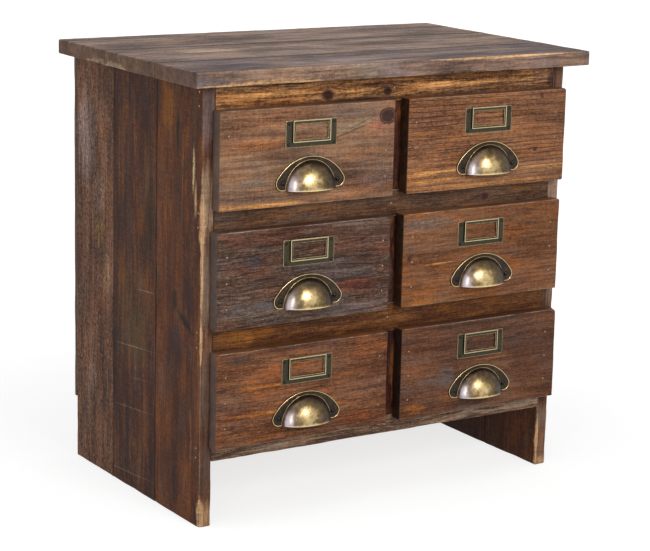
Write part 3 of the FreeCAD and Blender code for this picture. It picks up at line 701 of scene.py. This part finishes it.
frontBoards = {
    "top_left_front": {
        "seed": 61, "heart": (560, -90), "dark": (86, 62, 50), "middle": (118, 87, 67),
        "light": (149, 114, 88), "warm": (141, 94, 66), "cool": (104, 88, 78), "coolness": 0.5,
        "saw": 0.6, "fibre": 1.0, "grit": 1.4, "streak": 1.3, "clouds": 1.5, "cracks": 0.2, "ring": 0.3,
        "knots": [(-20, 529, 12)], "knotColour": (47, 37, 38), "haloColour": (110, 78, 64),
        "patches": [
            (-205, 425, 75, 4, (180, 124, 66), 0.7), (-215, 503, 50, 6, (162, 100, 58), 0.5),
            (-70, 520, 48, 7, (110, 104, 86), 0.5, 14), (-34, 518, 12, 12, (134, 84, 70), 0.6),
            (-78, 512, 40, 1.3, (60, 46, 36), 0.7, 16), (-62, 522, 34, 1.1, (62, 48, 38), 0.6, 22),
            (-92, 507, 30, 1.0, (66, 50, 40), 0.5, 10), (-120, 452, 95, 18, (87, 65, 52), 0.8),
            (-70, 538, 62, 16, (88, 74, 67), 0.7), (-24, 500, 24, 16, (104, 78, 64), 0.5),
            (-35, 447, 34, 10, (104, 88, 88), 0.5), (-225, 455, 30, 8, (104, 98, 88), 0.5),
        ],
    },
    "top_right_front": {
        "seed": 67, "heart": (640, -50), "dark": (76, 50, 37), "middle": (122, 84, 61),
        "light": (158, 114, 80), "warm": (148, 96, 58), "wave": 3, "ripple": 0.8, "fibre": 1.0,
        "ringGap": 4.5, "ring": 0.9, "ringStart": 0.72, "ringDrift": 0.35, "ringEven": 0.5,
        "knots": [(227, 468, 3.2)],
        "patches": [
            # The broad dark patch at the front's right end is painted shade: the front is darker towards its
            # right end.
            (250, 500, 70, 90, (104, 72, 54), 0.55), (66, 448, 66, 3.6, (188, 136, 80), 0.75, 3),
            (52, 436, 44, 3.6, (178, 124, 72), 0.65, 2), (255, 443, 45, 4, (176, 130, 84), 0.55),
            (145, 426, 130, 5, (168, 116, 66), 0.55), (104, 461, 7, 6, (108, 84, 84), 0.5),
            (130, 478, 120, 0.8, (58, 36, 27), 0.85, 1), (150, 466, 120, 0.7, (62, 39, 29), 0.75, 2),
            (110, 456, 90, 0.7, (60, 38, 28), 0.7, 2), (200, 512, 80, 0.7, (66, 42, 32), 0.6),
            (235, 541, 5, 4, (60, 38, 34), 0.7),
        ],
    },
    "middle_left_front": {
        "seed": 71, "heart": (390, -70), "dark": (47, 37, 33), "middle": (85, 66, 56),
        "light": (122, 101, 89), "warm": (106, 64, 48), "cool": (86, 77, 76), "coolness": 0.6,
        "wave": 8, "ripple": 3, "ringGap": 7, "ring": 0.5, "ringStart": 0.65, "ringEven": 0.3, "cracks": 0.9,
        "patches": [
            (-222, 352, 14, 12, (72, 74, 84), 0.45), (-65, 308, 38, 10, (106, 56, 44), 0.6),
            (-180, 281, 90, 8, (118, 100, 86), 0.5), (-50, 343, 32, 4, (58, 32, 28), 0.6),
            (-205, 292, 14, 6, (80, 84, 82), 0.45), (-120, 347, 110, 0.9, (40, 28, 26), 0.8, -1),
            (-60, 335, 62, 0.9, (44, 28, 24), 0.85, -5), (-190, 318, 60, 0.8, (44, 34, 31), 0.7, 2),
            (-70, 318, 60, 0.9, (42, 30, 28), 0.75, 4), (-200, 372, 70, 1.2, (48, 36, 33), 0.6),
        ],
    },
    "middle_right_front": {
        "seed": 73, "heart": (330, -190), "dark": (82, 53, 38), "middle": (116, 79, 56),
        "light": (146, 102, 72), "warm": (140, 84, 46), "warmth": 0.6, "cool": (102, 86, 76),
        "fibre": 1.1, "streak": 0.8, "grit": 1.4, "knots": [(22, 333, 3.5)],
        "patches": [
            (50, 377, 48, 10, (102, 88, 78), 0.6), (72, 322, 30, 1.8, (196, 136, 74), 0.7),
            (42, 272, 34, 6, (154, 94, 44), 0.6), (195, 285, 55, 11, (84, 57, 46), 0.6),
            # The broad dark patch at the front's right end is painted shade: the front is darker towards its
            # right end.
            (250, 330, 60, 80, (106, 68, 44), 0.55),
        ],
    },
    "bottom_left_front": {
        "seed": 79, "heart": (210, -80), "dark": (68, 42, 31), "middle": (105, 69, 49),
        "light": (138, 96, 69), "warm": (138, 83, 50), "warmth": 0.6, "cool": (84, 68, 62),
        "coolness": 0.35, "ringGap": 8,
        "patches": [
            (-185, 186, 72, 2.8, (178, 110, 54), 0.75), (-200, 149, 66, 3.2, (176, 108, 54), 0.7),
            (-95, 147, 30, 3, (170, 106, 56), 0.6), (-238, 226, 30, 8, (72, 60, 56), 0.7),
            (-150, 233, 95, 4, (84, 66, 56), 0.6), (-60, 124, 44, 8, (112, 58, 38), 0.5),
        ],
    },
    "bottom_right_front": {
        "seed": 83, "heart": (150, -60), "dark": (58, 39, 32), "middle": (88, 61, 48), "light": (118, 85, 66),
        "warm": (108, 67, 45), "cool": (82, 71, 68), "coolness": 0.5, "ringGap": 7,
        "chips": [((275.85, -180.6, 236), (9, 9, 5), 2.6)], "bareColour": (104, 74, 58), "fibre": 1.2,
        "patches": [
            (205, 178, 85, 1.6, (146, 98, 60), 0.7), (36, 121, 26, 8, (164, 102, 48), 0.7),
            (92, 162, 16, 22, (82, 82, 84), 0.4), (150, 231, 140, 4, (62, 48, 42), 0.6),
            # The broad dark patch at the front's right end is painted shade: the front is darker towards its
            # right end.
            (250, 170, 60, 80, (78, 52, 40), 0.6),
        ],
    },
}
paleWood = {
    "dark": (130, 96, 64), "middle": (166, 128, 90), "light": (196, 160, 118), "warm": (180, 134, 86),
    "warmth": 0.3, "cool": (150, 126, 98), "ringColour": (122, 84, 52), "cracks": 0.15,
    "clouds": 0.8, "streak": 0.6, "fibre": 0.8, "grit": 0.8, "saw": 0.3,
}
endColoursWithShade = {"left": (84, 73, 69), "right": (34, 26, 25)}  # of the fronts' ends, by column: end grain on the left, and painted shade on the right, for the gap beside the stile
boxWood = makeWood("box_wood", grain="y", wide="z", seed=89, **paleWood)
boxBackWood = makeWood("box_back_wood", grain="x", wide="z", seed=97, **paleWood)
bottomWood = makeWood("bottom_wood", grain="x", wide="y", seed=101, **{**paleWood, "middle": (180, 144, 104)})
# The right fronts' ends get painted shade as their end colour.
for node, look in frontBoards.items():
    look["endColour"] = endColoursWithShade[node.split("_")[1]]
makeBoards(frontBoards)
drawers = [node.removesuffix("_front") for node in frontBoards]
for drawer in drawers:
    dress(f"{drawer}_sides", boxWood)
    dress(f"{drawer}_back", boxBackWood)
    dress(f"{drawer}_bottom", bottomWood)
print("drawers made")


# Fittings: rows of points joined into skins, with how polished each row is

def joinRows(parts, rows, closed=False):
    # Adds the quads between one row of points and the next to the parts of a mesh.
    points, faces, polish = parts
    start = len(points)
    count = len(rows[0][0])
    for row, shine in rows:
        points.extend(row)
        polish.extend(shine if hasattr(shine, "__len__") else [shine] * count)
    for step in range(len(rows) - 1):
        for index in range(count if closed else count - 1):
            after = (index + 1) % count
            first = start + step * count
            faces.append((first + index, first + after, first + count + after, first + count + index))


def arc(centre, radius, begin, end, steps):
    turns = [begin + (end - begin) * step / steps for step in range(steps + 1)]
    return [(centre[0] + radius * math.cos(turn), centre[1] + radius * math.sin(turn)) for turn in turns]


def fromWood(flat, depth):
    # Flat points (across, up) at a depth in front of the wood; the front faces -y.
    depths = depth if hasattr(depth, "__len__") else [depth] * len(flat)
    return [(across, -out, up) for (across, up), out in zip(flat, depths)]


cupPull = {
    "width": 104.5, "height": 43.0, "reach": 22.0, "ear": 9.75,
    "dome": 37.4, "wall": 1.2, "collar": 1.1,
    "steps": 96,           # around the dome
    "lifts": (1, 2.2, 4, 7, 11, 16, 22, 29, 37, 45, 53, 61, 69, 76, 82, 87, 90),  # its rows, in degrees
    # the plate's edge, from the wood over the raised rim to the flange: (in from the outline, depth, polish)
    "edge": [(0, 0, 0.0), (0, 1.5, 0.1), (0.18, 1.88, 0.45), (0.6, 2.1, 1.0), (0.95, 2.05, 0.75),
             (1.25, 1.75, 0.15), (1.6, 1.3, 0.0), (2.0, 1.2, 0.0), (2.8, 1.2, 0.05)],
    # the collar around the dome: (beyond the dome, depth, polish)
    "ring": [(1.25, 0.9, 0.0), (1.1, 1.7, 0.1), (0.9, 2.0, 0.45), (0.6, 2.1, 0.8), (0.3, 2.0, 0.35),
             (0.05, 1.75, 0.0), (-0.25, 1.5, 0.0)],
    # where the dome is polished: (across, up, reach across, reach up, how much); the first spot is worn by
    # fingers and also spreads the painted gold highlight round the lamp's reflection, the second, at the left
    # end, carries the painted silver-white reflection there
    "rubbedAndHighlit": [(-7, 13, 22, 16, 0.68), (-33, 8, 6, 12, 0.55)],
    "foot": 0.75,          # how much the dome's foot is polished
    "pale": (-34.0, 8.0, 2.3),  # where a silver-white reflection is painted on the dome: across, its reach, and how far out it starts
}


def pullOutline(inset):
    # From the collar along the foot, round one ear, over the arch, and back on the other side
    ear = cupPull["ear"]
    earAt = cupPull["width"] / 2 - ear
    rise = cupPull["height"]
    arch = (earAt ** 2 + (rise - ear) ** 2 - ear ** 2) / (2 * (rise - 2 * ear))
    turn = math.atan2(ear - (rise - arch), earAt)
    foot = math.sqrt((cupPull["dome"] + cupPull["collar"]) ** 2 - inset ** 2)
    half = [(foot + (earAt - foot) * step / 4, inset) for step in range(4)]
    half += arc((earAt, ear), ear - inset, -math.pi / 2, turn, 18)[:-1]
    half += arc((0, rise - arch), arch - inset, turn, math.pi / 2, 34)
    return half + [(-across, up) for across, up in reversed(half[:-1])]


def makePullMesh():
    parts = ([], [], [])
    outer = cupPull["dome"] + cupPull["collar"]
    rows = [(fromWood(pullOutline(inset), depth), shine) for inset, depth, shine in cupPull["edge"]]
    inset, depth, shine = cupPull["edge"][-1]
    last = pullOutline(inset)
    for share in (0.35, 0.7, 1.0):
        drawn = []
        for across, up in last:
            far = math.hypot(across, up)
            pull = 1 + (outer / far - 1) * share
            drawn.append((across * pull, up * pull))
        rows.append((fromWood(drawn, depth), 0.04))
    joinRows(parts, rows)

    steps, lifts = cupPull["steps"], cupPull["lifts"]
    rows = []
    for beyond, depth, shine in cupPull["ring"]:
        rows.append((fromWood(arc((0, 0), cupPull["dome"] + beyond, 0, math.pi, steps), depth), shine))
    joinRows(parts, rows)

    # The dome: one skin outside, one inside, and a rounded lip between them
    turns = [math.pi * step / steps for step in range(steps + 1)]

    def skin(inwards, lift):
        around, deep = cupPull["dome"] - inwards, cupPull["reach"] - inwards
        angle = math.radians(lift)
        return [
            (around * math.cos(turn), -deep * math.sin(turn) * math.cos(angle),
             around * math.sin(turn) * math.sin(angle))
            for turn in turns
        ]

    # Polish along the dome: worn by fingers, and partly painted highlight and reflection
    def rubbedAndHighlit(row, lift):
        shine = [0.03 + cupPull["foot"] * max(0, 1 - lift / 5)] * len(row)
        for atAcross, atUp, reachAcross, reachUp, much in cupPull["rubbedAndHighlit"]:
            for index, (across, out, up) in enumerate(row):
                far = ((across - atAcross) / reachAcross) ** 2 + ((up - atUp) / reachUp) ** 2
                shine[index] += much * math.exp(-far)
        return shine

    def lip(share, up):
        row = []
        for turn, near, far in zip(turns, skin(0, 0), skin(cupPull["wall"], 0)):
            across, out = (near[way] + (far[way] - near[way]) * share for way in (0, 1))
            row.append((across, out, up * math.sin(turn)))
        return row

    rows = [(skin(0, lift), rubbedAndHighlit(skin(0, lift), lift)) for lift in reversed(lifts)]
    rows += [(lip(0.12, 0.25), 0.9), (lip(0.5, 0.0), 1.0), (lip(0.88, 0.25), 0.7)]
    rows += [(skin(cupPull["wall"], lift), 0.0) for lift in lifts]
    joinRows(parts, rows)
    return parts


labelHolder = {
    "width": 77.5, "height": 35.0, "thickness": 0.9, "corner": 2.0,
    "frameWidth": 57.0, "frameHeight": 28.5, "rise": 3.2, "wall": 1.0, "border": 3.6, "topBorder": 4.8,
    "rim": 0.5,
    # the plate's edge, from the wood in to the flat: (in from the outline, depth, polish)
    "edge": [(0, 0, 0.2), (0, 0.55, 0.6), (0.12, 0.8, 0.9), (0.4, 0.9, 0.5), (1.1, 0.9, 0.05)],
    "sidePoints": 24,    # along each side of an outline
}


def roundedBox(left, right, bottom, top, corner, fine=4):
    # A closed outline that starts at its top left and runs down: each side, and then its corner
    count = labelHolder["sidePoints"]
    corners = [
        (left + corner, bottom + corner), (right - corner, bottom + corner),
        (right - corner, top - corner), (left + corner, top - corner),
    ]
    path, begin = [], (left, top - corner)
    for quarter, centre in enumerate(corners, 2):
        turn = arc(centre, corner, quarter * math.pi / 2, (quarter + 1) * math.pi / 2, fine)
        for step in range(1, count):
            path.append(tuple(old + (new - old) * step / count for old, new in zip(begin, turn[0])))
        path += turn
        begin = turn[-1]
    return path


def makeLabelMesh():
    size = labelHolder
    parts = ([], [], [])
    halfFrame, top = size["frameWidth"] / 2, size["height"]
    foot = top - size["frameHeight"]

    # The flat plate, from its eased edge in to the frame
    rows = []
    for inset, depth, shine in size["edge"]:
        half = size["width"] / 2 - inset
        path = roundedBox(-half, half, inset, top - inset, size["corner"] - inset * 0.5)
        rows.append((fromWood(path, depth), shine))
    inner = [(min(max(across, -halfFrame), halfFrame), min(max(up, foot), top)) for across, up in path]
    rows.append((fromWood(inner, size["thickness"]), 0.0))
    joinRows(parts, rows, closed=True)

    # The frame: two rounded ridges with a hollow between them, and the slot for the card behind
    border, topBorder, rise, wall, rim = (size[key] for key in ("border", "topBorder", "rise", "wall", "rim"))
    profile = [  # (in at the sides and foot, in at the top, depth, polish)
        (0, 0, size["thickness"], 0.0), (0, 0, rise - 0.5, 0.2), (0.12, 0.12, rise - 0.16, 0.75),
        (rim, rim, rise, 1.0), (2 * rim, 2 * rim, rise - 0.12, 0.7), (2.8 * rim, 2.8 * rim, rise - 0.32, 0.1),
        (border - 0.9, topBorder - 0.9, rise - 0.62, 0.1), (border - 0.5, topBorder - 0.5, rise - 0.6, 0.55),
        (border - 0.15, topBorder - 0.15, rise - 0.72, 0.6), (border, topBorder, rise - 0.85, 0.1),
        (border, topBorder, rise - wall, 0.0), (wall, 0, rise - wall, 0.0), (wall, 0, 0, 0.0),
    ]
    rows = []
    for inset, topInset, depth, shine in profile:
        half = halfFrame - inset
        path = roundedBox(-half, half, foot + inset, top - topInset, 0.5, 3)
        atSlot = [up > top - topInset - 0.05 and abs(across) < half - 0.4 for across, up in path]
        depths = [max(depth, rise - wall) if slot else depth for slot in atSlot]
        rows.append((fromWood(path, depths), shine))
    joinRows(parts, rows, closed=True)
    return parts


def brassPiece(parts, node, material, pale=None):
    # The skin is made around the node's own place: its middle, its foot, and the wood behind it.
    points, faces, polish = np.array(parts[0]), parts[1], parts[2]
    low, high = (np.array(corner) * 1000 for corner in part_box(node))
    place = np.array([(low[0] + high[0]) / 2, high[1], low[2]])
    marks = {"polish": polish}
    # A mask for the painted reflection at the dome's left end
    if pale:
        middle, reach, out = pale
        marks["pale"] = np.exp(-((points[:, 0] - middle) / reach) ** 2) * (points[:, 1] < -out)
    piece = meshPiece(node, points + place, faces, marks)
    install(piece, node, material)


# Brass and steel: patina in the hollows, metal, and gilt where fingers polish it; on the pulls the gilt also
# carries a painted highlight, and a painted silver-white reflection at the left end

metals = {
    "pull_brass": {
        "patina": (44, 34, 28), "metal": (110, 90, 58), "gilt": (218, 192, 138),
        "roughness": 0.36, "spots": 140.0, "coat": 0.22,
    },
    "label_brass": {
        "patina": (56, 52, 41), "metal": (104, 93, 69), "gilt": (204, 182, 140),
        "roughness": 0.45, "spots": 320.0, "coat": 0.1,
    },
    "screw_steel": {
        "patina": (22, 19, 17), "metal": (44, 39, 34), "gilt": (140, 130, 116),
        "roughness": 0.26, "spots": 500.0, "coat": 0.3, "brads": (156, 128, 104),
    },
}
# The colour of the painted reflection on the pulls
paintedReflectionColour = (188, 180, 192)
bradLevel = (-0.1813, -0.1811)  # m along y, in front of the brads' ends and behind the screws' heads


def makeBrass(name, patina, metal, gilt, roughness, spots, coat, brads=None):
    graph = Graph(name)
    places = graph.add("ShaderNodeTexCoord", output="Object")
    polished = graph.attribute("polish")
    brush = graph.add("ShaderNodeMapping", None, Vector=places, Scale=(2200.0, 2200.0, 160.0))
    hairs = graph.add("ShaderNodeTexNoise", None, Vector=brush, Scale=1.0, Detail=2.0)
    cloud = graph.add("ShaderNodeTexNoise", None, Vector=places, Scale=spots, Detail=4.0, Roughness=0.65)
    shown = (polished + (cloud - 0.5) * 0.7 + (hairs - 0.5) * 0.25).between(-0.05, 1.0)
    colour = graph.ramp(shown, (0.0, paint(patina)), (0.45, paint(metal)), (1.0, paint(gilt)))
    # Painted reflection: the metal turns silver-white at the pull's left end, where it is polished.
    colour = graph.mix(graph.attribute("pale") * shown, colour, paint(paintedReflectionColour))
    if brads:
        # The brads end level with the wood and are rubbed bright.
        level = graph.add("ShaderNodeSeparateXYZ", None, places).twin("Y").between(*bradLevel)
        colour = graph.mix(level, colour, paint(brads))
    rough = roughness - shown * 0.11 + (hairs - 0.5) * 0.14 + (cloud - 0.5) * 0.1
    bump = graph.add("ShaderNodeBump", None, Strength=0.1, Distance=0.0003, Height=hairs)
    surface = graph.add(
        "ShaderNodeBsdfPrincipled", None, Base_Color=colour, Metallic=1.0, Roughness=rough, Normal=bump,
        Coat_Weight=coat, Coat_Roughness=0.16,
    )
    return graph.finish(surface)


pullBrass, labelBrass, screwSteel = (makeBrass(name, **metal) for name, metal in metals.items())
pullParts, labelParts = makePullMesh(), makeLabelMesh()
for drawer in drawers:
    brassPiece(pullParts, f"{drawer}_cup_pull", pullBrass, cupPull["pale"])
    brassPiece(labelParts, f"{drawer}_label_holder", labelBrass)
    dress(f"{drawer}_fasteners", screwSteel)
dress("case_fasteners", screwSteel)
print("fittings made")


# Studio

studio = {
    "world": 0.42,         # the light from all around
    "floorReach": 30.0,    # m
    "floorLit": (232, 232, 230),     # what lights the wood from below
    "floorSeen": (150, 150, 150),    # what the camera sees, with the glow on it
    "glow": 0.76, "farGlow": 0.24, "glowFrom": 0.4, "glowTo": 1.6,  # more of it from 0.4 m out to 1.6 m
    "key": {"place": (0.12, -3.1, 1.75), "size": (1.1, 1.1), "power": 59},
    "top": {"place": (-0.4, -0.6, 3.0), "size": (2.2, 2.2), "power": 22},
    "left": {"place": (-2.7, 0.7, 0.9), "size": (1.0, 1.6), "power": 16},
    "leftFront": {"place": (-2.15, -1.95, 0.9), "size": (0.3, 1.5), "power": 9},
}


def addLamp(name, place, size, power):
    data = bpy.data.lights.new(name, "AREA")
    data.shape = "RECTANGLE"
    data.size, data.size_y = size
    data.energy = power
    lamp = bpy.data.objects.new(name, data)
    lamp.location = place
    lamp.rotation_euler = (Vector((0, 0, 0.3)) - Vector(place)).to_track_quat("-Z", "Y").to_euler()
    bpy.context.scene.collection.objects.link(lamp)


def seenDirectly(graph):
    # 1 for the camera, for gloss and for glass, and 0 for the light that falls on the wood
    path = graph.add("ShaderNodeLightPath", output="Is Camera Ray")
    return path.atLeast(path.twin("Is Glossy Ray")).atLeast(path.twin("Is Transmission Ray"))


def lightWorld():
    graph = Graph("studio", bpy.data.worlds)
    strength = seenDirectly(graph) * (1 - studio["world"]) + studio["world"]
    light = graph.add("ShaderNodeBackground", None, (1, 1, 1, 1), strength)
    bpy.context.scene.world = graph.finish(light, "World")


def layFloor():
    graph = Graph("pale_floor")
    places = graph.add("ShaderNodeTexCoord", output="Object")
    far = graph.add("ShaderNodeVectorMath", {"operation": "LENGTH"}, places, output="Value")
    seen = seenDirectly(graph)
    glow = far.between(studio["glowFrom"], studio["glowTo"]) * studio["farGlow"] + studio["glow"]
    shade = graph.mix(seen, paint(studio["floorLit"]), paint(studio["floorSeen"]))
    matte = graph.add("ShaderNodeBsdfDiffuse", None, shade)
    light = graph.add("ShaderNodeEmission", None, (1, 1, 1, 1), seen * glow)
    surface = graph.add("ShaderNodeAddShader", None, matte, light)
    material = graph.finish(surface)
    reach = studio["floorReach"] * 1000
    corners = [(-reach, -reach, 0), (reach, -reach, 0), (reach, reach, 0), (-reach, reach, 0)]
    floor = meshPiece("floor", corners, [(0, 1, 2, 3)], {})
    floor.name = "floor"
    floor.data.materials.append(material)


for name in ("key", "top", "left", "leftFront"):
    addLamp(name, **studio[name])
lightWorld()
layFloor()
print("studio lit")
